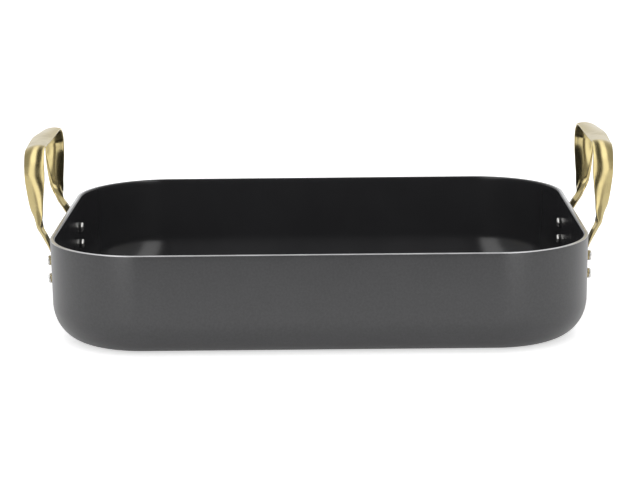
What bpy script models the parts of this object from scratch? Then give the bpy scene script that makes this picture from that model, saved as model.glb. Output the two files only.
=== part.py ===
"""Rectangular roasting pan with two riveted loop handles.

Metres, +Z up. The origin is the middle of the underside, +X runs along the length,
and the handles stand on the two short ends.
"""

import math
from collections import namedtuple

import bmesh
import bpy
import numpy as np

# Pan, measured outside
RIM_LENGTH = 0.400
RIM_WIDTH = 0.300
PAN_HEIGHT = 0.0755
WALL_THICKNESS = 0.0036
CORNER_RADIUS = 0.072
BASE_FILLET_INSET = 0.0235
BASE_FILLET_HEIGHT = 0.0275
WALL_DRAFT = math.radians(0.4)
RIM_EDGE_RADIUS = 0.0006

# Gap between pieces that touch, and round a rivet's shank
FIT_GAP = 0.0003

# Rivets, two in a vertical pair at each foot of a handle
RIVET_DROP = 0.0226
RIVET_PITCH = 0.0138
SHANK_DIAMETER = 0.0032
OUTER_HEAD_DIAMETER = 0.0076
OUTER_HEAD_HEIGHT = 0.0034
OUTER_HEAD_ROUNDING = 0.0010
INNER_HEAD_DIAMETER = 0.0074
INNER_HEAD_HEIGHT = 0.0028
INNER_HEAD_ROUNDING = 0.0016

# Handles, each a bar bent into a loop, flat at its feet and with two crowned faces above them.
# The bar is as thick as its feet all along its edges
BAR_THICKNESS = 0.0018
BAR_EDGE_RADIUS = 0.0004
FOOT_SPACING = 0.120
GRIP_SPACING = 0.1135
GRIP_RISE = 0.0628
SHOULDER_REACH = 0.016
SHOULDER_DROP = 0.014
FOOT_WIDTH = 0.0142
FOOT_MARGIN = 0.0074
FOOT_CORNER_RADIUS = 0.005
GRIP_WIDTH = 0.0158
GRIP_CROWN = 0.0020
GRIP_BACK = 0.0016
CREASE_HEIGHT = 0.003

# The bar's sections above the flat foot. place is 0 where the foot ends, 1 at the crease over the
# rim, 2 where the shoulder begins and 3 in the middle of the grip. lift is how far the middle of
# the outer face's crown stands off from where the foot lies, turn is 90 where the outer face looks
# away from the pan and 0 where it looks along the rim, crown is the height of the outer face's
# crown and back is that of the inner face.
Section = namedtuple("Section", "place lift turn width crown back")
BAR_SECTIONS = (
    Section(0.00, 0.0000, 90, FOOT_WIDTH, 0.0000, 0.0000),
    Section(0.16, 0.0011, 90, FOOT_WIDTH, 0.0015, 0.0000),
    Section(0.67, 0.0064, 90, FOOT_WIDTH, 0.0030, 0.0004),
    Section(1.00, 0.0103, 82, 0.0138, 0.0028, 0.0010),
    Section(1.12, 0.0112, 60, 0.0130, 0.0024, 0.0014),
    Section(1.28, 0.0117, 33, 0.0126, 0.0018, 0.0014),
    Section(1.43, 0.0119, 24, 0.0134, 0.0016, 0.0014),
    Section(1.58, 0.0119, 17, 0.0144, 0.0015, 0.0014),
    Section(1.90, 0.0117, 3, GRIP_WIDTH, 0.0015, 0.0014),
    Section(2.00, 0.0117, 4, GRIP_WIDTH, 0.0016, 0.0014),
    Section(2.12, 0.0119, 8, GRIP_WIDTH, 0.0017, 0.0014),
    Section(2.30, 0.0122, 9, GRIP_WIDTH, 0.0019, 0.0015),
)
GRIP_LIFT = 0.0129
GRIP_TURN = -4

# Fineness of the faceted surfaces
CORNER_STEPS = 12
FILLET_STEPS = 6
TURNED_STEPS = 16
HEAD_STEPS = 3
LEG_STEPS = 20
FOOT_CORNER_STEPS = 4
FOOT_STEPS = 2
SHOULDER_STEPS = 8
GRIP_STEPS = 3
CROWN_STEPS = 6
SMOOTH_UNDER = math.radians(35)
BEVEL_OVER = math.radians(32)
LEAST_CROWN = 0.00001

SIDES = {"left": -1, "right": 1}
ENDS = {"near": -1, "far": 1}
ROWS = {"upper": 0, "lower": 1}


def clear_scene():
    for obj in list(bpy.data.objects):
        bpy.data.objects.remove(obj, do_unlink=True)


def new_collection(name):
    collection = bpy.data.collections.new(name)
    bpy.context.scene.collection.children.link(collection)
    return collection


def material(name, colour, roughness, metallic):
    made = bpy.data.materials.new(name)
    made.use_nodes = True
    shader = made.node_tree.nodes["Principled BSDF"]
    shader.inputs["Base Color"].default_value = (*colour, 1)
    shader.inputs["Roughness"].default_value = roughness
    shader.inputs["Metallic"].default_value = metallic
    return made


def new_object(name, mesh, collection, surface=None):
    obj = bpy.data.objects.new(name, mesh)
    collection.objects.link(obj)
    if surface and not mesh.materials:
        mesh.materials.append(surface)
    return obj


def mesh_from_bmesh(name, bm):
    mesh = bpy.data.meshes.new(name)
    bm.to_mesh(mesh)
    bm.free()
    return mesh


def shade_round(mesh):
    mesh.shade_smooth()
    mesh.set_sharp_from_angle(angle=SMOOTH_UNDER)


def wall_face(height):
    """Distance from the pan's middle to the outside of its end wall, at a height over the base."""
    return RIM_LENGTH / 2 - (PAN_HEIGHT - height) * math.tan(WALL_DRAFT)


def rivet_height(row):
    return PAN_HEIGHT - RIVET_DROP - row * RIVET_PITCH


def seat_on_wall(obj, side, end, row):
    """Puts an object that stands along Z square to the end wall, at one of its rivets."""
    height = rivet_height(row)
    obj.location = (side * wall_face(height), end * FOOT_SPACING / 2, height)
    obj.rotation_euler.y = side * (math.pi / 2 + WALL_DRAFT)


def pan_shell():
    """The pan's outside as an open surface: a tapered box without its top, its upright edges
    rounded first and the edges round its base after them. The box is made low enough for a round
    fillet and then stretched upwards, which makes the fillet as high as it should be."""
    bm = bmesh.new()
    bmesh.ops.create_cube(bm, size=1)
    taper = PAN_HEIGHT * math.tan(WALL_DRAFT)
    stretch = BASE_FILLET_HEIGHT / BASE_FILLET_INSET
    low = PAN_HEIGHT / stretch
    for vert in bm.verts:
        inset = taper if vert.co.z < 0 else 0
        vert.co.x *= RIM_LENGTH - 2 * inset
        vert.co.y *= RIM_WIDTH - 2 * inset
        vert.co.z = low if vert.co.z > 0 else 0
    bm.normal_update()
    top = [face for face in bm.faces if face.normal.z > 0.9]
    bmesh.ops.delete(bm, geom=top, context="FACES_ONLY")
    upright = [edge for edge in bm.edges if abs(edge.verts[0].co.z - edge.verts[1].co.z) > low / 2]
    bmesh.ops.bevel(
        bm, geom=upright, offset=CORNER_RADIUS, segments=CORNER_STEPS, profile=0.5, affect="EDGES"
    )
    base = [edge for edge in bm.edges if max(vert.co.z for vert in edge.verts) < low / 2]
    base = [edge for edge in base if len(edge.link_faces) == 2]
    bmesh.ops.bevel(
        bm, geom=base, offset=BASE_FILLET_INSET, segments=FILLET_STEPS, profile=0.5, affect="EDGES"
    )
    bmesh.ops.scale(bm, vec=(1, 1, stretch), verts=bm.verts)
    return mesh_from_bmesh("pan_body", bm)


def add_thickness(obj, thickness):
    solidify = obj.modifiers.new("sheet", "SOLIDIFY")
    solidify.thickness = thickness
    solidify.offset = -1
    solidify.use_even_offset = True


def round_sharp_edges(obj, radius):
    bevel = obj.modifiers.new("rounded edges", "BEVEL")
    bevel.width = radius
    bevel.segments = 1
    bevel.limit_method = "ANGLE"
    bevel.angle_limit = BEVEL_OVER


def cut(obj, cutter):
    boolean = obj.modifiers.new(cutter.name, "BOOLEAN")
    boolean.operation = "DIFFERENCE"
    boolean.solver = "EXACT"
    boolean.object = cutter


def smooth_through(knots, values, places):
    """Values at places on a curve through the knots that never overshoots between them: each
    knot's slope is the harmonic mean of its neighbours' slopes, and level at a turning point."""
    knots = np.asarray(knots, float)
    values = np.asarray(values, float)
    width = np.diff(knots)
    slope = np.diff(values) / width
    before, after = slope[:-1], slope[1:]
    rising = before * after > 0
    tangent = np.zeros(len(knots))
    total = np.where(rising, before + after, 1)
    tangent[1:-1] = np.where(rising, 2 * before * after / total, 0)
    places = np.clip(places, knots[0], knots[-1])
    span = np.clip(np.searchsorted(knots, places) - 1, 0, len(width) - 1)
    u = (places - knots[span]) / width[span]
    return (
        (1 + 2 * u) * (1 - u) ** 2 * values[span]
        + u * (1 - u) ** 2 * width[span] * tangent[span]
        + u**2 * (3 - 2 * u) * values[span + 1]
        + u**2 * (u - 1) * width[span] * tangent[span + 1]
    )


def handle_heights():
    """Heights over the rim of the foot's end, of the bend where the flat foot ends just clear of
    the upper rivet's head, of the shoulder's start and of the middle of the grip."""
    foot_end = -(RIVET_DROP + RIVET_PITCH + FOOT_MARGIN)
    bend = OUTER_HEAD_DIAMETER / 2 + FIT_GAP - RIVET_DROP
    grip = GRIP_RISE - GRIP_CROWN / 2
    return foot_end, bend, grip - SHOULDER_DROP, grip


def handle_path():
    """Half of the loop seen from the pan's end, from the foot's end to the middle of the grip:
    distance from the middle, height over the rim, and the unit direction of both."""
    foot_end, bend, shoulder, grip = handle_heights()
    turn = np.linspace(0, math.pi / 2, FOOT_CORNER_STEPS + 1)
    corner = foot_end + FOOT_CORNER_RADIUS * (1 - np.cos(turn))
    foot = np.linspace(corner[-1], bend, FOOT_STEPS + 1)[1:]
    heights = np.concatenate([corner, foot, np.linspace(bend, shoulder, LEG_STEPS + 1)[1:]])
    lean = np.clip((heights - bend) / (CREASE_HEIGHT - bend), 0, 1)
    lean = lean**2 * (3 - 2 * lean)
    across = (FOOT_SPACING + (GRIP_SPACING - FOOT_SPACING) * lean) / 2
    turn = np.linspace(0, math.pi / 2, SHOULDER_STEPS + 1)[1:]
    across = np.append(across, GRIP_SPACING / 2 - SHOULDER_REACH * (1 - np.cos(turn)))
    heights = np.append(heights, grip - SHOULDER_DROP * (1 - np.sin(turn)))
    rest = np.linspace(across[-1], 0, GRIP_STEPS + 1)[1:]
    across = np.append(across, rest)
    heights = np.append(heights, np.full(GRIP_STEPS, grip))
    direction = np.gradient(np.stack([across, heights], axis=1), axis=0)
    direction[-1] = (-1, 0)
    direction /= np.linalg.norm(direction, axis=1)[:, None]
    return across, heights, direction


def sections_along(along):
    """Lift, turn, half width and the crowns of the outer and the inner face at places along the
    bar, counted in metres from the rim's height."""
    foot_end, bend, shoulder, _ = handle_heights()
    foot = BAR_SECTIONS[0]
    grip = Section(3, GRIP_LIFT, GRIP_TURN, GRIP_WIDTH, GRIP_CROWN, GRIP_BACK)
    sections = (foot, *BAR_SECTIONS, grip)
    places = [section.place for section in sections[1:]]
    landmarks = [bend, CREASE_HEIGHT, shoulder, along[-1]]
    knots = [foot_end, *np.interp(places, range(len(landmarks)), landmarks)]

    def column(field):
        return smooth_through(knots, [getattr(section, field) for section in sections], along)

    half = column("width") / 2
    return column("lift"), np.radians(column("turn")), half, column("crown"), column("back")


def handle_rings():
    """Half of a handle as rings round the bar, for the end wall on +X. Each ring runs along an arc
    on the outer face, as wide and as high as its place along the bar asks, and back along the
    inner face, which is the same arc drawn in by the bar's thickness and swollen by a parabola."""
    across, heights, direction = handle_path()
    steps = np.hypot(np.diff(across), np.diff(heights))
    along = heights[0] + np.append(0, np.cumsum(steps))
    lift, turn, half, crown, back = sections_along(along)
    crown = np.maximum(crown, LEAST_CROWN)
    from_end = np.clip(along - along[0], 0, FOOT_CORNER_RADIUS)
    corner = np.sqrt(FOOT_CORNER_RADIUS**2 - (FOOT_CORNER_RADIUS - from_end) ** 2)
    half = half - FOOT_CORNER_RADIUS + corner

    radius = (half**2 + crown**2) / (2 * crown)
    reach = np.arctan2(half, radius - crown)
    share = np.linspace(-1, 1, CROWN_STEPS + 1)
    swell = (1 - share**2) * (crown + back)[:, None]
    outer = np.broadcast_to(radius[:, None], swell.shape)
    distance = np.hstack([outer, (outer - BAR_THICKNESS - swell)[:, ::-1]])
    angle = np.append(share, share[::-1]) * reach[:, None]
    sideways = distance * np.sin(angle)
    outwards = distance * np.cos(angle) - (radius - crown / 2)[:, None]

    wall = RIM_LENGTH / 2 + np.minimum(heights, 0) * math.tan(WALL_DRAFT)
    middle = wall + FIT_GAP + BAR_THICKNESS + lift
    sine, cosine = np.sin(turn)[:, None], np.cos(turn)[:, None]
    out_y, out_z = direction[:, 1][:, None], -direction[:, 0][:, None]
    swing = outwards * cosine - sideways * sine
    x = middle[:, None] + outwards * sine + sideways * cosine
    y = across[:, None] + swing * out_y
    z = PAN_HEIGHT + heights[:, None] + swing * out_z
    y[-1] = 0
    return np.stack([x, y, z], axis=2)


def handle_mesh():
    """The rings joined by quads and closed at the foot's end. It is open in the middle of the grip,
    where its mirror image joins on."""
    points = handle_rings()
    rows, columns = points.shape[:2]
    index = np.arange(rows * columns).reshape(rows, columns)
    beside = np.roll(index, -1, axis=1)
    faces = np.stack([index[:-1], index[1:], beside[1:], beside[:-1]], axis=2).reshape(-1, 4)
    outer, inner = index[0, : CROWN_STEPS + 1], index[0, : CROWN_STEPS : -1]
    end = np.stack([outer[:-1], outer[1:], inner[1:], inner[:-1]], axis=1)
    mesh = bpy.data.meshes.new("handle")
    mesh.from_pydata(points.reshape(-1, 3).tolist(), [], np.concatenate([faces, end]).tolist())
    return mesh


def add_handle(name, mesh, side, collection, surface, cutters):
    obj = new_object(name, mesh, collection, surface)
    obj.rotation_euler.z = 0 if side > 0 else math.pi
    mirror = obj.modifiers.new("other half", "MIRROR")
    mirror.use_axis = (False, True, False)
    mirror.merge_threshold = 0.0001
    round_sharp_edges(obj, BAR_EDGE_RADIUS)
    for cutter in cutters:
        cut(obj, cutter)
    return obj


def head_outline(seat, rise, radius, rounding):
    """A rivet head's outline from its seat to the middle of its face. rise is along the rivet,
    negative for a head that faces the other way."""
    sign = math.copysign(1, rise)
    points = [(radius, seat)]
    for step in range(HEAD_STEPS + 1):
        angle = step / HEAD_STEPS * math.pi / 2
        along = seat + rise - sign * rounding * (1 - math.sin(angle))
        points.append((radius - rounding * (1 - math.cos(angle)), along))
    points.append((0, seat + rise))
    return points


def rivet_mesh():
    """One rivet along Z: z is 0 on the outside of the pan's wall and grows outwards."""
    shank = SHANK_DIAMETER / 2
    outer_seat = 2 * FIT_GAP + BAR_THICKNESS
    inner_seat = -(WALL_THICKNESS + FIT_GAP)
    outer = head_outline(outer_seat, OUTER_HEAD_HEIGHT, OUTER_HEAD_DIAMETER / 2, OUTER_HEAD_ROUNDING)
    inner = head_outline(inner_seat, -INNER_HEAD_HEIGHT, INNER_HEAD_DIAMETER / 2, INNER_HEAD_ROUNDING)
    outline = outer[::-1] + [(shank, outer_seat), (shank, inner_seat)] + inner
    bm = bmesh.new()
    verts = [bm.verts.new((radius, 0, along)) for radius, along in outline]
    for first, second in zip(verts, verts[1:]):
        bm.edges.new((first, second))
    return mesh_from_bmesh("rivet", bm)


def add_rivet(name, mesh, side, end, row, collection, surface):
    obj = new_object(name, mesh, collection, surface)
    seat_on_wall(obj, side, end, row)
    screw = obj.modifiers.new("turned", "SCREW")
    screw.steps = TURNED_STEPS
    screw.render_steps = TURNED_STEPS
    screw.use_merge_vertices = True
    screw.merge_threshold = 0.00005
    screw.use_smooth_shade = True
    return obj


def add_hole_cutter(side, end, row, collection):
    """A cylinder through the wall and the handle's foot, as wide as the shank and its gap."""
    bm = bmesh.new()
    radius = SHANK_DIAMETER / 2 + FIT_GAP
    length = 2 * (WALL_THICKNESS + BAR_THICKNESS + OUTER_HEAD_HEIGHT)
    bmesh.ops.create_cone(
        bm, cap_ends=True, segments=TURNED_STEPS, radius1=radius, radius2=radius, depth=length
    )
    name = f"hole_{side}_{end}_{row}"
    obj = new_object(name, mesh_from_bmesh(name, bm), collection)
    seat_on_wall(obj, side, end, row)
    obj.hide_render = True
    obj.display_type = "WIRE"
    return obj


def build():
    clear_scene()
    parts = new_collection("roasting_pan")
    helpers = new_collection("cutters")
    anodised = material("anodised_aluminium", (0.085, 0.085, 0.09), 0.55, 0.6)
    brass = material("brass", (0.52, 0.43, 0.21), 0.25, 1.0)
    steel = material("rivet_steel", (0.62, 0.62, 0.62), 0.25, 1.0)

    holes = {side: [] for side in SIDES.values()}
    for side in SIDES.values():
        for end in ENDS.values():
            for row in ROWS.values():
                holes[side].append(add_hole_cutter(side, end, row, helpers))

    pan = new_object("pan_body", pan_shell(), parts, anodised)
    add_thickness(pan, WALL_THICKNESS)
    round_sharp_edges(pan, RIM_EDGE_RADIUS)
    for side in SIDES.values():
        for cutter in holes[side]:
            cut(pan, cutter)
    shade_round(pan.data)

    bar = handle_mesh()
    shade_round(bar)
    for label, side in SIDES.items():
        add_handle(f"handle_{label}", bar, side, parts, brass, holes[side])

    rivet = rivet_mesh()
    for label, side in SIDES.items():
        for place, end in ENDS.items():
            for level, row in ROWS.items():
                add_rivet(f"rivet_{label}_{place}_{level}", rivet, side, end, row, parts, steel)


build()
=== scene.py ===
"""Finished surfaces of a rectangular roasting pan with two riveted brass handles, and its studio.

Metres, +Z up. The origin is the middle of the underside, +X runs along the length, and the
handles stand on the two short ends.
"""

import math

import bmesh
import bpy
import numpy as np
from bpy.props import FloatProperty, FloatVectorProperty, PointerProperty
from mathutils import Matrix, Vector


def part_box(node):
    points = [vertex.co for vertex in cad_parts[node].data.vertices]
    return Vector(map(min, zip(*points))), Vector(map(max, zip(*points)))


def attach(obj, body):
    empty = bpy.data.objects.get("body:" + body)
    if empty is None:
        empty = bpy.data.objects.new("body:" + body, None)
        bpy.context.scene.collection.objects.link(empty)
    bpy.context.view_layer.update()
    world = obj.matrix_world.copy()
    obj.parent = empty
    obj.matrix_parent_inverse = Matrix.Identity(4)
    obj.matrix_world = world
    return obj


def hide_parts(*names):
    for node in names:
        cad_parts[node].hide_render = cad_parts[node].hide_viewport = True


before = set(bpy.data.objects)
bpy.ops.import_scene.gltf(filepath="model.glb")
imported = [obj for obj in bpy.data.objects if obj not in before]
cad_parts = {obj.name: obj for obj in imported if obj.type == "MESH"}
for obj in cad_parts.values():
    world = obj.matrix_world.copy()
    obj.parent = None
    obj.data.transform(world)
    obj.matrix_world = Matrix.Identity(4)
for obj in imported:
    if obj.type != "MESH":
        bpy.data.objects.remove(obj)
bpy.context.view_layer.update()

bl_info = {
    "name": "Roasting Pan",
    "version": (1, 0, 0),
    "blender": (4, 5, 0),
    "location": "View3D > Sidebar > Roasting Pan",
    "description": "Makes the surfaces of a riveted roasting pan and the studio round it",
    "category": "Object",
}

PAN_LOW, PAN_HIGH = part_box("pan_body")
SIDES = {"left": -1, "right": 1}
ENDS = ("near", "far")
ROWS = ("upper", "lower")


def metres(name, description, default):
    return FloatProperty(
        name=name, description=description, default=default, unit="LENGTH", precision=4
    )


def angle(name, description, degrees):
    return FloatProperty(
        name=name, description=description, default=math.radians(degrees), subtype="ANGLE"
    )


def colour(name, description, default):
    return FloatVectorProperty(
        name=name, description=description, default=default, subtype="COLOR", min=0, max=1
    )


def number(name, description, default, most=1.0):
    return FloatProperty(name=name, description=description, default=default, min=0, max=most)


class PanSettings(bpy.types.PropertyGroup):
    length: metres("Length", "Length over the rim", PAN_HIGH.x - PAN_LOW.x)
    width: metres("Width", "Width over the rim", PAN_HIGH.y - PAN_LOW.y)
    height: metres("Height", "Height from the underside to the rim", PAN_HIGH.z - PAN_LOW.z)
    wall: metres("Wall", "Thickness of the sheet", 0.0036)
    corner: metres("Corner radius", "Radius of the upright corners at the rim, outside", 0.072)
    fillet_inset: metres("Fillet inset", "How far the base fillet reaches in", 0.0235)
    fillet_height: metres("Fillet height", "How high the base fillet reaches", 0.0275)
    draft: angle("Draft", "Lean of the walls", 0.4)
    rim_rounding: metres("Rim rounding", "Radius along the rim's outer edge", 0.0005)
    # The rim's inner rounding is drawn in the inside's black: painted shade along the rim's inner
    # edge.
    shaded_rounding: metres(
        "Shaded rounding", "Radius along the rim's inner edge, under the coating", 0.0012
    )
    outside: colour("Outside", "Hard-anodised outside", (0.041, 0.041, 0.043))
    outside_roughness: number("Outside roughness", "Roughness of the anodised outside", 0.30)
    outside_ior: number("Outside IOR", "Index of refraction of the anodised outside", 1.6, 3.0)
    inside: colour("Inside", "Non-stick inside", (0.021, 0.021, 0.0225))
    inside_roughness: number("Inside roughness", "Roughness of the non-stick inside", 0.20)
    rim: colour("Rim", "Bare metal of the trimmed rim", (0.60, 0.60, 0.61))


class HandleSettings(bpy.types.PropertyGroup):
    thickness: metres("Thickness", "Thickness of the foot and of the bar's edges", 0.0018)
    gap: metres("Gap", "Gap between the pan and the foot, and between the foot and a head", 0.0003)
    foot_spacing: metres("Foot spacing", "Distance between the feet's middles", 0.120)
    foot_margin: metres("Foot margin", "From the lower rivet down to the foot's end", 0.0074)
    foot_corner: metres("Foot corner", "Radius of the foot's corners", 0.005)
    crease: metres("Crease height", "Height over the rim where the leg turns upright", 0.003)
    grip_spacing: metres("Grip spacing", "Distance between the legs' middles", 0.1135)
    shoulder_reach: metres("Shoulder reach", "Length of the shoulder along the grip", 0.016)
    shoulder_drop: metres("Shoulder drop", "Height of the shoulder", 0.014)
    grip_rise: metres("Grip rise", "Height of the grip's back over the rim", 0.0628)
    grip_width: metres("Grip width", "Width of the bar at the grip", 0.0158)
    grip_crown: metres("Grip crown", "Crown of the grip's outer face", 0.0020)
    grip_back: metres("Grip back", "Crown of the grip's inner face", 0.0016)
    grip_lift: metres("Grip lift", "How far the grip stands out from where the foot lies", 0.0129)
    grip_turn: angle("Grip turn", "Lean of the grip's section", -4)
    edge: metres("Edge", "Radius along the bar's edges", 0.0005)
    brass: colour("Brass", "Colour of the polished brass", (0.52, 0.43, 0.21))
    roughness: number("Roughness", "Roughness of the polished brass", 0.19)


class RivetSettings(bpy.types.PropertyGroup):
    outer_diameter: metres("Outer head", "Diameter of the head on the handle's foot", 0.0076)
    outer_height: metres("Outer height", "Height of the head on the handle's foot", 0.0034)
    outer_rounding: metres("Outer rounding", "Radius round the outer head's face", 0.0010)
    inner_diameter: metres("Inner head", "Diameter of the head inside the pan", 0.0074)
    inner_height: metres("Inner height", "Height of the head inside the pan", 0.0028)
    inner_rounding: metres("Inner rounding", "Radius round the inner head's face", 0.0016)
    shank: metres("Shank", "Diameter of the shank", 0.0032)
    steel: colour("Steel", "Colour of the rivets", (0.78, 0.77, 0.75))
    roughness: number("Roughness", "Roughness of the rivets", 0.26)


class StudioSettings(bpy.types.PropertyGroup):
    floor_width: metres("Floor width", "Width of the floor along X", 6.0)
    floor_front: metres("Floor front", "From the pan's middle to the floor's front edge", 0.42)
    floor_back: metres("Floor back", "From the pan's middle to the floor's back edge", 4.0)
    floor: colour("Floor colour", "Pale floor under the pan", (0.86, 0.86, 0.86))
    floor_glow: number("Floor glow", "Light of its own that the floor shows the camera alone", 0.35)
    floor_shine: number("Floor shine", "Light of its own that it also shows in reflections", 0.25)
    backdrop: number("Backdrop", "Brightness of the white backdrop behind the pan", 1.0, 4.0)
    backdrop_rise: angle("Backdrop rise", "How high the backdrop rises, as seen from the pan", 42)
    backdrop_fade: angle("Backdrop fade", "How far above and below its edge the backdrop fades", 36)
    strips: number("Strips", "Brightness of the two strips that arch over the pan", 2.2, 4.0)
    strips_low: number("Strips low", "Brightness of the strips at their foot", 1.9, 4.0)
    strip_from: angle("Strip from", "Where a strip starts, sideways from over the pan's middle", 12)
    strip_to: angle("Strip to", "Where a strip ends, sideways from over the pan's middle", 36)
    between_strips: number("Between strips", "Brightness between the strips", 0.05, 4.0)
    beside_pan: number("Beside the pan", "Brightness over the skyline on both sides", 0.50, 4.0)
    low_sides: number("Low sides", "Brightness below the skyline on both sides", 0.58, 4.0)
    camera_back: metres("Camera distance", "From the pan's middle to the camera, along Y", 1.4889)
    camera_side: metres("Camera side", "How far right of the pan's middle the camera is", 0.0088)
    camera_height: metres("Camera height", "Height of the camera over the floor", 0.3813)
    camera_tilt: angle("Camera tilt", "How far the camera looks down", 12.424)
    camera_yaw: angle("Camera yaw", "How far the camera turns to the left", 0.330)
    camera_roll: angle("Camera roll", "How far the camera is rolled", -0.627)
    lens: number("Lens", "Focal length in millimetres on a sensor 36 mm wide", 108.98, 500.0)


class Number:
    """A socket that carries a number. Each Python operator on it adds a Math node."""

    def __init__(self, graph, socket):
        self.graph = graph
        self.socket = socket

    def apply(self, operation, *values):
        made = self.graph.node("ShaderNodeMath", {"operation": operation}, dict(enumerate(values)))
        return Number(self.graph, made.outputs[0])

    def __add__(self, other):
        return self.apply("ADD", self, other)

    __radd__ = __add__

    def __sub__(self, other):
        return self.apply("SUBTRACT", self, other)

    def __rsub__(self, other):
        return self.apply("SUBTRACT", other, self)

    def __mul__(self, other):
        return self.apply("MULTIPLY", self, other)

    __rmul__ = __mul__

    def most(self, other):
        return self.apply("MAXIMUM", self, other)

    def size(self):
        return self.apply("ABSOLUTE", self)

    def swing(self, width):
        """How far noise is from its middle, 0.5, times a width."""
        return (self - 0.5) * width

    def between(self, low, high):
        """low where this is 0, high where it is 1, and a straight blend between them."""
        return low + self * (high - low)

    def turn_from(self, ahead):
        """The angle from ahead to this."""
        return self.apply("ARCTAN2", self, ahead)

    def smooth(self, low, high):
        """0 below low, 1 above high, and a smooth step between them."""
        made = self.graph.node(
            "ShaderNodeMapRange",
            {"interpolation_type": "SMOOTHSTEP"},
            {"Value": self, "From Min": low, "From Max": high},
        )
        return Number(self.graph, made.outputs["Result"])


class Graph:
    """The nodes of a material or of the world."""

    def __init__(self, owner):
        owner.use_nodes = True
        self.tree = owner.node_tree
        self.tree.nodes.clear()

    def feed(self, socket, value):
        value = getattr(value, "socket", value)
        if isinstance(value, bpy.types.NodeSocket):
            self.tree.links.new(value, socket)
        elif socket.type == "RGBA":
            socket.default_value = (*value, 1)
        else:
            socket.default_value = value

    def node(self, kind, settings=None, inputs=None):
        """A node of a kind, with its settings first and then its sockets' values or links."""
        made = self.tree.nodes.new(kind)
        for name, value in (settings or {}).items():
            setattr(made, name, value)
        for name, value in (inputs or {}).items():
            self.feed(made.inputs[name], value)
        return made

    def place(self):
        """Object coordinates: metres from the middle of the pan's underside."""
        return self.node("ShaderNodeTexCoord").outputs["Object"]

    def axes(self, vector):
        parts = self.node("ShaderNodeSeparateXYZ", inputs={"Vector": vector}).outputs
        return [Number(self, part) for part in parts]

    def stretched(self, vector, scale):
        inputs = {"Vector": vector, "Scale": scale}
        return self.node("ShaderNodeMapping", {"vector_type": "POINT"}, inputs).outputs["Vector"]

    def noise(self, vector, scale, detail=2.0, roughness=0.5):
        """Noise from 0 to 1 whose blotches are about 1 / scale metres across."""
        made = self.node(
            "ShaderNodeTexNoise",
            inputs={"Vector": vector, "Scale": scale, "Detail": detail, "Roughness": roughness},
        )
        return Number(self, made.outputs["Fac"])

    def blend(self, factor, low, high):
        """A colour that goes from low, at factor 0, to high, at factor 1."""
        factor_socket, low_socket, high_socket, result = 0, 6, 7, 2
        inputs = {factor_socket: factor, low_socket: low, high_socket: high}
        return self.node("ShaderNodeMix", {"data_type": "RGBA"}, inputs).outputs[result]

    def bump(self, height, distance, strength):
        inputs = {"Height": height, "Distance": distance, "Strength": strength}
        return self.node("ShaderNodeBump", inputs=inputs).outputs["Normal"]

    def surface(self, inputs):
        shader = self.node("ShaderNodeBsdfPrincipled", inputs=inputs)
        self.node("ShaderNodeOutputMaterial", inputs={"Surface": shader.outputs["BSDF"]})


def shade(rgb, factor):
    """A colour made paler, or darker by a factor under 1."""
    return tuple(min(1.0, part * factor) for part in rgb)


def anodised_outside(pan):
    """Charcoal hard-anodised aluminium: matte, with a fine mottled grain and faint clouding."""
    material = bpy.data.materials.new("hard_anodised_outside")
    graph = Graph(material)
    place = graph.place()
    grain = graph.noise(place, scale=620.0, detail=3.0, roughness=0.6)
    clouds = graph.noise(place, scale=28.0, detail=3.0, roughness=0.55)
    grain_share, darkest, palest, uneven = 0.8, 0.84, 1.16, 0.06
    tone = (grain * grain_share + clouds * (1 - grain_share)).smooth(low=0.3, high=0.7)
    dark, pale = shade(pan.outside, darkest), shade(pan.outside, palest)
    graph.surface(
        {
            "Base Color": graph.blend(tone, dark, pale),
            "Roughness": pan.outside_roughness + clouds.swing(uneven) + grain.swing(uneven),
            "IOR": pan.outside_ior,
            "Normal": graph.bump(grain, distance=0.00008, strength=0.35),
        }
    )
    return material


def non_stick_inside(pan):
    """Black non-stick coating with a soft gloss and a slight orange peel."""
    material = bpy.data.materials.new("black_non_stick_inside")
    graph = Graph(material)
    place = graph.place()
    peel = graph.noise(place, scale=420.0)
    cast = graph.noise(place, scale=18.0)
    tone = cast.smooth(low=0.3, high=0.7)
    palest, uneven = 1.12, 0.03
    graph.surface(
        {
            "Base Color": graph.blend(tone, pan.inside, shade(pan.inside, palest)),
            "Roughness": pan.inside_roughness + cast.swing(uneven),
            "Normal": graph.bump(peel, distance=0.00004, strength=0.25),
        }
    )
    return material


def bare_rim(pan):
    """Bare aluminium where the rim was trimmed and ground: short scratches on a satin face."""
    material = bpy.data.materials.new("bare_trimmed_rim")
    graph = Graph(material)
    place = graph.place()
    scratches = graph.noise(place, scale=1500.0, detail=4.0, roughness=0.7)
    stains = graph.noise(place, scale=60.0)
    tone = stains.smooth(low=0.3, high=0.7)
    darkest, smoothest, rougher_by = 0.85, 0.26, 0.14
    graph.surface(
        {
            "Base Color": graph.blend(tone, shade(pan.rim, darkest), pan.rim),
            "Metallic": 1.0,
            "Roughness": smoothest + scratches * rougher_by,
            "Normal": graph.bump(scratches, distance=0.00005, strength=0.3),
        }
    )
    return material


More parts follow.
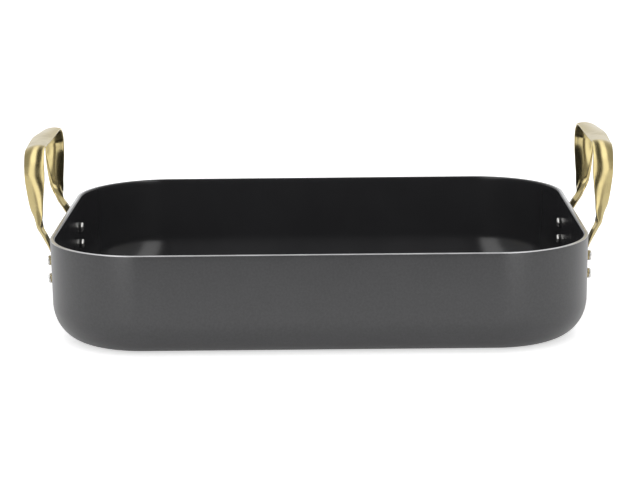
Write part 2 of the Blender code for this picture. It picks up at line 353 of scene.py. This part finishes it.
def polished_brass(handle):
    """Polished brass with fine lines from the buff, slight waviness and a little darkening."""
    material = bpy.data.materials.new("polished_brass")
    graph = Graph(material)
    place = graph.place()
    upright_lines = graph.stretched(place, (1.0, 1.0, 0.12))
    buffed = graph.noise(upright_lines, scale=1800.0, detail=3.0, roughness=0.6)
    waves = graph.noise(place, scale=90.0)
    tarnish = graph.noise(place, scale=45.0, detail=4.0, roughness=0.65).smooth(low=0.45, high=0.75)
    darkest, tarnished, duller_by, uneven, buffed_share = 0.78, 0.6, 0.08, 0.06, 0.25
    relief = buffed * buffed_share + waves * (1 - buffed_share)
    dark = shade(handle.brass, darkest)
    graph.surface(
        {
            "Base Color": graph.blend(tarnish * tarnished, handle.brass, dark),
            "Metallic": 1.0,
            "Roughness": handle.roughness + tarnish * duller_by + buffed.swing(uneven),
            "Normal": graph.bump(relief, distance=0.00008, strength=0.25),
        }
    )
    return material


def rivet_steel(rivet):
    """Satin steel, set by a hammer: fine pits and a slight darkening in the hollows."""
    material = bpy.data.materials.new("satin_rivet_steel")
    graph = Graph(material)
    pits = graph.noise(graph.place(), scale=1600.0, detail=3.0, roughness=0.6)
    tone = pits.smooth(low=0.35, high=0.65)
    darkest, uneven = 0.86, 0.10
    graph.surface(
        {
            "Base Color": graph.blend(tone, shade(rivet.steel, darkest), rivet.steel),
            "Metallic": 1.0,
            "Roughness": rivet.roughness + pits.swing(uneven),
            "Normal": graph.bump(pits, distance=0.00004, strength=0.3),
        }
    )
    return material


MERGE_WITHIN = 0.0000005


def new_piece(name, points, faces, materials, bands=None):
    """A smooth mesh object at the origin. bands gives each face's material. Points of a grid that
    close a seam or an end fall on each other, and are merged."""
    mesh = bpy.data.meshes.new(name)
    mesh.from_pydata(points.reshape(-1, 3).tolist(), [], faces)
    for material in materials:
        mesh.materials.append(material)
    if bands is not None:
        mesh.polygons.foreach_set("material_index", np.asarray(bands, np.int32))
    bm = bmesh.new()
    bm.from_mesh(mesh)
    bmesh.ops.remove_doubles(bm, verts=bm.verts, dist=MERGE_WITHIN)
    bm.to_mesh(mesh)
    bm.free()
    mesh.shade_smooth()
    piece = bpy.data.objects.new(name, mesh)
    bpy.context.scene.collection.objects.link(piece)
    return piece


def stand_for(piece, node):
    """The piece is shown in the CAD node's place, which is hidden, and goes on the body root."""
    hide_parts(node)
    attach(piece, "root")


def tube_faces(rows, columns):
    """Quads of a grid whose columns close round into a ring."""
    index = np.arange(rows * columns).reshape(rows, columns)
    beside = np.roll(index, -1, axis=1)
    quads = np.stack([index[:-1], beside[:-1], beside[1:], index[1:]], axis=2)
    return quads.reshape(-1, 4).tolist()


def quarter(steps):
    """Angles of a quarter turn in equal steps, without the one at the start."""
    return np.linspace(0, math.pi / 2, steps + 1)[1:]


def pan_outline(pan, corner_steps, side_steps):
    """The pan's plan once round, as the points that its outline turns about and the outward
    direction at each. A level's outline is these points plus its corner radius times the
    direction, so that the corners of all levels share their middles."""
    half = np.array([pan.length / 2 - pan.corner, pan.width / 2 - pan.corner])
    corners = half * np.array([(1, -1), (1, 1), (-1, 1), (-1, -1)])
    middles, directions = [], []
    for place in range(4):
        facing = (place - 1) * math.pi / 2 + np.linspace(0, math.pi / 2, corner_steps + 1)
        facing = np.stack([np.cos(facing), np.sin(facing)], axis=1)
        along = np.linspace(0, 1, side_steps + 1)[1:-1, None]
        straight = corners[place] * (1 - along) + corners[(place + 1) % 4] * along
        middles += [np.repeat(corners[place][None], corner_steps + 1, axis=0), straight]
        directions += [facing, np.repeat(facing[-1:], side_steps - 1, axis=0)]
    return np.concatenate(middles), np.concatenate(directions)


def pan_profile(pan, fillet_steps, wall_steps, round_steps):
    """The pan's section from the edge of the flat underside, out and up the wall, over the rim
    and down the inside to the edge of the flat floor, as three stretches of inset from the rim
    and height. The walls lean by the draft, the fillets are quarter ellipses on that lean, and
    the rim's two edges are quarter circles. The inner one is drawn in the inside's black as
    painted shade along the rim's inner edge."""
    lean = math.tan(pan.draft)

    def side(sheet, floor, inset, rounding):
        """Inset and height from the flat up to the rim, on one face of the sheet."""
        turn = np.append(0, quarter(fillet_steps))
        fillet = floor + (pan.fillet_height - floor) * (1 - np.cos(turn))
        wall = np.linspace(pan.fillet_height, pan.height - rounding, wall_steps + 1)[1:]
        height = np.append(fillet, wall)
        curve = np.append(inset * (1 - np.sin(turn)), np.zeros(wall_steps))
        return np.stack([sheet + curve + (pan.height - height) * lean, height], axis=1)

    def edge(rounding):
        """Inset and height round a quarter circle, from the wall onto the top."""
        turn = quarter(round_steps)
        over = pan.height - rounding * (1 - np.sin(turn))
        return np.stack([rounding * (1 - np.cos(turn)), over], axis=1)

    outside = side(0, 0, pan.fillet_inset, pan.rim_rounding)
    inside = side(pan.wall, pan.wall, pan.fillet_inset - pan.wall, pan.shaded_rounding)
    rise, fall = edge(pan.rim_rounding), (pan.wall, 0) + edge(pan.shaded_rounding) * (-1, 1)
    # The inner rounding, fall, goes to the inside's black as painted shade along the rim's inner
    # edge.
    return outside, np.concatenate([rise, fall[-1:]]), np.concatenate([inside, fall[:-1]])[::-1]


# Rings of points on the pan's flat underside and floor, as shares of the way to the flat's edge
FLAT_RINGS = (0, 0.35, 0.7, 0.9)


class ROASTER_OT_pan(bpy.types.Operator):
    """Make the drawn pan: one closed sheet, anodised outside, bare on the rim, non-stick inside"""

    bl_idname = "roaster.pan"
    bl_label = "Pan"

    def execute(self, context):
        pan = context.scene.roaster_pan
        middles, directions = pan_outline(pan, corner_steps=40, side_steps=24)
        stretches = pan_profile(pan, fillet_steps=22, wall_steps=14, round_steps=5)
        profile = np.concatenate(stretches)
        radius = pan.corner - profile[:, 0]
        level = middles[None] + directions[None] * radius[:, None, None]
        flat = np.array(FLAT_RINGS)
        plan = np.concatenate(
            [flat[:, None, None] * level[:1], level, flat[::-1, None, None] * level[-1:]]
        )
        height = np.concatenate([np.zeros(len(flat)), profile[:, 1], np.full(len(flat), pan.wall)])
        rows, columns = plan.shape[:2]
        upright = np.broadcast_to(height[:, None, None], (rows, columns, 1))
        points = np.concatenate([plan, upright], axis=2)
        outside, rim, _ = (len(stretch) for stretch in stretches)
        rim_start = len(flat) + outside
        materials = [anodised_outside(pan), bare_rim(pan), non_stick_inside(pan)]
        row_bands = np.repeat(range(len(materials)), [rim_start, rim - 1, rows - rim_start - rim])
        bands = np.repeat(row_bands, columns)
        piece = new_piece("drawn_pan", points, tube_faces(rows, columns), materials, bands)
        stand_for(piece, "pan_body")
        return {"FINISHED"}


# The bar's sections above the flat foot. place is 0 where the foot ends, 1 at the crease over the
# rim, 2 where the shoulder begins and 3 in the middle of the grip. Then come how far the middle of
# the outer face's crown stands out from where the foot lies, in metres, the turn in degrees from
# facing along the rim to facing away from the pan, and the width and the crowns of the outer and of
# the inner face, in metres.
BAR_SECTIONS = (
    (0.00, 0.0000, 90, 0.0142, 0.0000, 0.0000),
    (0.16, 0.0011, 90, 0.0142, 0.0015, 0.0000),
    (0.67, 0.0064, 90, 0.0142, 0.0030, 0.0004),
    (1.00, 0.0103, 82, 0.0138, 0.0028, 0.0010),
    (1.12, 0.0112, 60, 0.0130, 0.0024, 0.0014),
    (1.28, 0.0117, 33, 0.0126, 0.0018, 0.0014),
    (1.43, 0.0119, 24, 0.0134, 0.0016, 0.0014),
    (1.58, 0.0119, 17, 0.0144, 0.0015, 0.0014),
    (1.90, 0.0117, 3, 0.0158, 0.0015, 0.0014),
    (2.00, 0.0117, 4, 0.0158, 0.0016, 0.0014),
    (2.12, 0.0119, 8, 0.0158, 0.0017, 0.0014),
    (2.30, 0.0122, 9, 0.0158, 0.0019, 0.0015),
)
LEAST_CROWN = 0.00001


def smooth_through(knots, values, places):
    """Values at places on a curve through the knots that never overshoots between them: each
    knot's slope is the harmonic mean of its neighbours' slopes, and level at a turning point."""
    knots, values = np.asarray(knots, float), np.asarray(values, float)
    width = np.diff(knots)
    slope = np.diff(values) / width
    before, after = slope[:-1], slope[1:]
    rising = before * after > 0
    tangent = np.zeros(len(knots))
    total = np.where(rising, before + after, 1)
    tangent[1:-1] = np.where(rising, 2 * before * after / total, 0)
    places = np.clip(places, knots[0], knots[-1])
    span = np.clip(np.searchsorted(knots, places) - 1, 0, len(width) - 1)
    u = (places - knots[span]) / width[span]
    return (
        (1 + 2 * u) * (1 - u) ** 2 * values[span]
        + u * (1 - u) ** 2 * width[span] * tangent[span]
        + u**2 * (3 - 2 * u) * values[span + 1]
        + u**2 * (u - 1) * width[span] * tangent[span + 1]
    )


def handle_path(handle, heights, corner_turn):
    """Half of the loop seen from the pan's end, from the foot's end to the middle of the grip:
    distance from the middle and height over the rim. The foot is upright, the leg leans in along a
    smooth step up to the crease, the shoulder is a quarter ellipse and the grip is straight."""
    foot_steps, leg_steps, shoulder_steps, grip_steps = 8, 70, 30, 16
    foot_end, bend, shoulder, grip = heights
    corner = foot_end + handle.foot_corner * (1 - np.cos(corner_turn))
    foot = np.linspace(corner[-1], bend, foot_steps + 1)[1:]
    leg = np.linspace(bend, shoulder, leg_steps + 1)[1:]
    up = np.concatenate([corner, foot, leg])
    lean = np.clip((up - bend) / (handle.crease - bend), 0, 1)
    lean = lean**2 * (3 - 2 * lean)
    across = (handle.foot_spacing + (handle.grip_spacing - handle.foot_spacing) * lean) / 2
    turn = quarter(shoulder_steps)
    round_across = handle.grip_spacing / 2 - handle.shoulder_reach * (1 - np.cos(turn))
    round_up = grip - handle.shoulder_drop * (1 - np.sin(turn))
    rest = np.linspace(round_across[-1], 0, grip_steps + 1)[1:]
    return (
        np.concatenate([across, round_across, rest]),
        np.concatenate([up, round_up, np.full(len(rest), grip)]),
    )


def bar_section(handle, arc_steps, edge_steps):
    """The bar's section once round: the share of its half width, from 1 to -1 and back, and the
    depth into the bar from its outer face, as it is along the bar's edges."""
    share = np.linspace(1, -1, arc_steps + 1)
    first = handle.edge * (1 - np.cos(quarter(edge_steps)))
    lip = np.concatenate([first, handle.thickness - first[::-1]])
    into = np.concatenate([0 * share, lip, handle.thickness + 0 * share, lip[::-1]])
    one = np.ones(len(lip))
    return np.concatenate([share, -one, -share, one]), into


def edge_inset(handle, into):
    """How far a quarter circle along the bar's edges draws the surface in, at a depth into it."""
    inner = np.minimum(np.minimum(into, handle.thickness - into), handle.edge)
    return handle.edge - np.sqrt(handle.edge**2 - (handle.edge - inner) ** 2)


def handle_points(pan, handle, heights):
    """The handle on +X as rings round the bar, from the near foot's end to the far one's. Each ring
    is an arc on the outer face, as wide and as high as its place along the bar asks. The inner face
    is the same arc, drawn in by the bar's thickness along its edges and swollen by a parabola. The
    first rings close the foot's end: on them the depth into the bar is held between two values that
    part from its middle."""
    close_steps, corner_steps = 5, 16
    corner_turn = np.linspace(0, math.pi / 2, corner_steps + 1)
    across, up = handle_path(handle, heights, corner_turn)
    along = up[0] + np.append(0, np.cumsum(np.hypot(np.diff(across), np.diff(up))))
    direction = np.gradient(np.stack([across, up], axis=1), axis=0)
    direction[0], direction[-1] = (0, 1), (-1, 0)
    direction /= np.linalg.norm(direction, axis=1)[:, None]

    foot_end, bend, shoulder, _ = heights
    place, lift, turn, width, crown, back = np.array([BAR_SECTIONS[0], *BAR_SECTIONS]).T
    places = [bend, handle.crease, shoulder, along[-1]]
    knots = np.append(np.interp(place, range(len(places)), places), along[-1])
    knots[0] = foot_end
    lift = smooth_through(knots, np.append(lift, handle.grip_lift), along)
    turn = smooth_through(knots, np.append(np.radians(turn), handle.grip_turn), along)
    half = smooth_through(knots, np.append(width, handle.grip_width) / 2, along)
    crown = smooth_through(knots, np.append(crown, handle.grip_crown), along)
    crown = np.maximum(crown, LEAST_CROWN)
    back = smooth_through(knots, np.append(back, handle.grip_back), along)
    corner_turn = np.append(corner_turn, np.full(len(up) - len(corner_turn), math.pi / 2))
    half = half - handle.foot_corner * (1 - np.sin(corner_turn))
    radius = (half**2 + crown**2) / (2 * crown)
    reach = np.arctan2(half, radius - crown)
    wall = pan.length / 2 + np.minimum(up, 0) * math.tan(pan.draft)
    middle = wall + handle.gap + handle.thickness + lift

    rings = np.concatenate([np.zeros(close_steps, int), np.arange(len(up))])
    closing = handle.edge * (1 - np.cos(np.linspace(math.pi / 2, 0, close_steps)[:-1]))
    held = np.concatenate([[handle.thickness / 2], closing, np.zeros(len(up))])

    def column(values):
        return values[rings][:, None]

    share, into = bar_section(handle, arc_steps=20, edge_steps=4)
    into = np.clip(into[None], held[:, None], handle.thickness - held[:, None])
    inset = edge_inset(handle, into)
    swept = share * (column(reach) - inset * np.sin(column(corner_turn)) / column(radius))
    swell = column(crown + back) * (1 - share**2) * into / handle.thickness
    distance = column(radius) - into - swell
    sideways = distance * np.sin(swept)
    outwards = distance * np.cos(swept) - column(radius - crown / 2)
    sine, cosine = np.sin(column(turn)), np.cos(column(turn))
    swing = outwards * cosine - sideways * sine
    end_inset = inset * np.cos(column(corner_turn))
    x = column(middle) + outwards * sine + sideways * cosine
    y = column(across) + swing * column(direction[:, 1])
    z = pan.height + column(up) + end_inset - swing * column(direction[:, 0])
    y[-1] = 0
    far_half = np.stack([x, y, z], axis=2)
    return np.concatenate([far_half, far_half[-2::-1] * (1, -1, 1)])


def rivet_middle(side, end, row):
    """The middle of a CAD rivet's box."""
    low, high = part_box(f"rivet_{side}_{end}_{row}")
    return (low + high) / 2


class ROASTER_OT_handles(bpy.types.Operator):
    """Make the two loop handles, each a brass bar with crowned faces"""

    bl_idname = "roaster.handles"
    bl_label = "Handles"

    def execute(self, context):
        scene = context.scene
        pan, handle, rivet = scene.roaster_pan, scene.roaster_handle, scene.roaster_rivet
        upper, lower = (rivet_middle("right", "far", row).z - pan.height for row in ROWS)
        bend = upper + rivet.outer_diameter / 2 + handle.gap
        grip = handle.grip_rise - handle.grip_crown / 2
        heights = lower - handle.foot_margin, bend, grip - handle.shoulder_drop, grip
        points = handle_points(pan, handle, heights)
        faces = tube_faces(*points.shape[:2])
        brass = polished_brass(handle)
        for label, side in SIDES.items():
            piece = new_piece(f"loop_handle_{label}", points * (side, side, 1), faces, [brass])
            stand_for(piece, f"handle_{label}")
        return {"FINISHED"}


def head_outline(seat, rise, radius, rounding):
    """A head's outline from its seat to the middle of its face, as place along the rivet and
    radius. The edge round its face is a quarter circle, and rise is negative on an inner head. A
    ring of points lies on the face between its edge and its middle."""
    edge_steps, ring_radius = 8, radius / 3
    turn = np.append(0, quarter(edge_steps))
    face = seat + rise
    place = face - math.copysign(rounding, rise) * (1 - np.sin(turn))
    edge = np.stack([place, radius - rounding * (1 - np.cos(turn))], axis=1)
    return np.concatenate([[(seat, radius)], edge, [(face, ring_radius), (face, 0)]])


def rivet_points(pan, handle, rivet):
    """A rivet turned about X, from its inner face to its outer one. x is 0 on the outside of the
    wall and grows outwards."""
    outer_seat = 2 * handle.gap + handle.thickness
    inner_seat = -(pan.wall + handle.gap)
    outer = head_outline(
        outer_seat, rivet.outer_height, rivet.outer_diameter / 2, rivet.outer_rounding
    )
    inner = head_outline(
        inner_seat, -rivet.inner_height, rivet.inner_diameter / 2, rivet.inner_rounding
    )
    shank = [(inner_seat, rivet.shank / 2), (outer_seat, rivet.shank / 2)]
    along, radius = np.concatenate([inner[::-1], shank, outer]).T
    turned_steps = 48
    turn = np.linspace(0, 2 * math.pi, turned_steps + 1)[:-1]
    across = np.broadcast_to(along[:, None], (len(along), len(turn)))
    radius = radius[:, None]
    return np.stack([across, radius * np.cos(turn), radius * np.sin(turn)], axis=2)


class ROASTER_OT_rivets(bpy.types.Operator):
    """Make the eight rivets that hold the handles"""

    bl_idname = "roaster.rivets"
    bl_label = "Rivets"

    def execute(self, context):
        scene = context.scene
        pan, handle, rivet = scene.roaster_pan, scene.roaster_handle, scene.roaster_rivet
        points = rivet_points(pan, handle, rivet)
        faces = tube_faces(*points.shape[:2])
        steel = rivet_steel(rivet)
        points = points @ np.array(Matrix.Rotation(pan.draft, 3, "Y")).T
        for label, side in SIDES.items():
            for end in ENDS:
                for row in ROWS:
                    middle = rivet_middle(label, end, row)
                    wall = pan.length / 2 - (pan.height - middle.z) * math.tan(pan.draft)
                    placed = points * (side, side, 1) + (side * wall, middle.y, middle.z)
                    piece = new_piece(f"set_rivet_{label}_{end}_{row}", placed, faces, [steel])
                    stand_for(piece, f"rivet_{label}_{end}_{row}")
        return {"FINISHED"}


FLOOR_ROUGHNESS = 0.8
SENSOR_WIDTH_MM = 36.0


def light_path(graph):
    """1 on what the camera sees directly, and 1 on what it sees directly, mirrored or through
    glass."""
    path = graph.node("ShaderNodeLightPath").outputs
    names = ("Is Camera Ray", "Is Glossy Ray", "Is Transmission Ray")
    camera, glossy, clear = (Number(graph, path[name]) for name in names)
    return camera, camera.most(glossy).most(clear)


def floor_material(studio):
    """Pale floor that takes the pan's shadow and adds a little light of its own to the picture."""
    material = bpy.data.materials.new("pale_floor")
    graph = Graph(material)
    camera, seen = light_path(graph)
    graph.surface(
        {
            "Base Color": studio.floor,
            "Roughness": FLOOR_ROUGHNESS,
            "Emission Color": camera * studio.floor_glow + seen * studio.floor_shine,
            "Emission Strength": 1.0,
        }
    )
    return material


def studio_world(studio):
    """A white backdrop behind the pan, two strips of light that arch over it from the camera's side
    to the backdrop, dark between them and dim beside them, and plain white where the camera sees
    it. across is how far a direction points sideways, up how far it points upwards, and over its
    angle from level behind the pan, up over the pan, to level at the camera's side."""
    world = bpy.data.worlds.new("studio")
    graph = Graph(world)
    side, away, up = graph.axes(graph.node("ShaderNodeTexCoord").outputs["Generated"])
    across = side.size()
    over = up.turn_from(away).size()
    narrowest, narrow_at, full_at = 0.45, math.radians(20), math.radians(130)
    narrowing = over.smooth(narrow_at, full_at).between(narrowest, 1)
    soft = 0.04

    def past(sideways):
        """0 nearer the middle than an angle sideways, and 1 beyond it."""
        edge = narrowing * math.sin(sideways)
        return across.smooth(edge - soft, edge + soft)

    high, skyline_low, skyline_high = 0.60, -0.12, 0.22
    strip = up.smooth(0, high).between(studio.strips_low, studio.strips)
    beside = up.smooth(skyline_low, skyline_high).between(studio.low_sides, studio.beside_pan)
    level = past(studio.strip_from).between(studio.between_strips, strip)
    level = past(studio.strip_to).between(level, beside)
    rise, fade = studio.backdrop_rise, studio.backdrop_fade
    level = over.smooth(rise - fade, rise + fade).between(studio.backdrop, level)
    camera, _ = light_path(graph)
    strength = camera.between(level, 1)
    shader = graph.node("ShaderNodeBackground", inputs={"Color": (1, 1, 1), "Strength": strength})
    graph.node("ShaderNodeOutputWorld", inputs={"Surface": shader.outputs[0]})
    return world


def fixed_camera(studio):
    """The camera: level along +Y first, then yaw, tilt and roll about its own axes."""
    data = bpy.data.cameras.new("camera")
    data.sensor_width = SENSOR_WIDTH_MM
    data.lens = studio.lens
    camera = bpy.data.objects.new("camera", data)
    bpy.context.scene.collection.objects.link(camera)
    place = Matrix.Translation((studio.camera_side, -studio.camera_back, studio.camera_height))
    level = Matrix.Rotation(math.pi / 2, 4, "X")
    yaw = Matrix.Rotation(studio.camera_yaw, 4, "Y")
    tilt = Matrix.Rotation(-studio.camera_tilt, 4, "X")
    roll = Matrix.Rotation(studio.camera_roll, 4, "Z")
    camera.matrix_world = place @ level @ yaw @ tilt @ roll
    return camera


class ROASTER_OT_studio(bpy.types.Operator):
    """Make the floor, the surround and the camera"""

    bl_idname = "roaster.studio"
    bl_label = "Studio"

    def execute(self, context):
        scene = context.scene
        studio = scene.roaster_studio
        right, front, back = studio.floor_width / 2, -studio.floor_front, studio.floor_back
        corners = [(-right, front, 0), (right, front, 0), (right, back, 0), (-right, back, 0)]
        faces, materials = [(0, 1, 2, 3)], [floor_material(studio)]
        floor = new_piece("floor", np.array(corners), faces, materials)
        scene.world = studio_world(studio)
        scene.camera = fixed_camera(studio)
        scene.view_settings.view_transform = "Standard"
        return {"FINISHED"}


STEPS = {
    "roaster_studio": (StudioSettings, ROASTER_OT_studio),
    "roaster_pan": (PanSettings, ROASTER_OT_pan),
    "roaster_handle": (HandleSettings, ROASTER_OT_handles),
    "roaster_rivet": (RivetSettings, ROASTER_OT_rivets),
}


class ROASTER_PT_panel(bpy.types.Panel):
    """Sizes, colours and operators of the roasting pan"""

    bl_label = "Roasting Pan"
    bl_space_type = "VIEW_3D"
    bl_region_type = "UI"
    bl_category = "Roasting Pan"

    def draw(self, context):
        for name, (settings, operator) in STEPS.items():
            box = self.layout.box()
            box.label(text=operator.bl_label)
            for field in settings.__annotations__:
                box.prop(getattr(context.scene, name), field)
            box.operator(operator.bl_idname)


def register():
    for name, (settings, operator) in STEPS.items():
        bpy.utils.register_class(settings)
        bpy.utils.register_class(operator)
        setattr(bpy.types.Scene, name, PointerProperty(type=settings))
    bpy.utils.register_class(ROASTER_PT_panel)


def unregister():
    bpy.utils.unregister_class(ROASTER_PT_panel)
    for name, (settings, operator) in STEPS.items():
        delattr(bpy.types.Scene, name)
        bpy.utils.unregister_class(operator)
        bpy.utils.unregister_class(settings)


def main():
    register()
    bpy.ops.roaster.studio()
    bpy.ops.roaster.pan()
    bpy.ops.roaster.handles()
    bpy.ops.roaster.rivets()


if __name__ == "__main__":
    main()
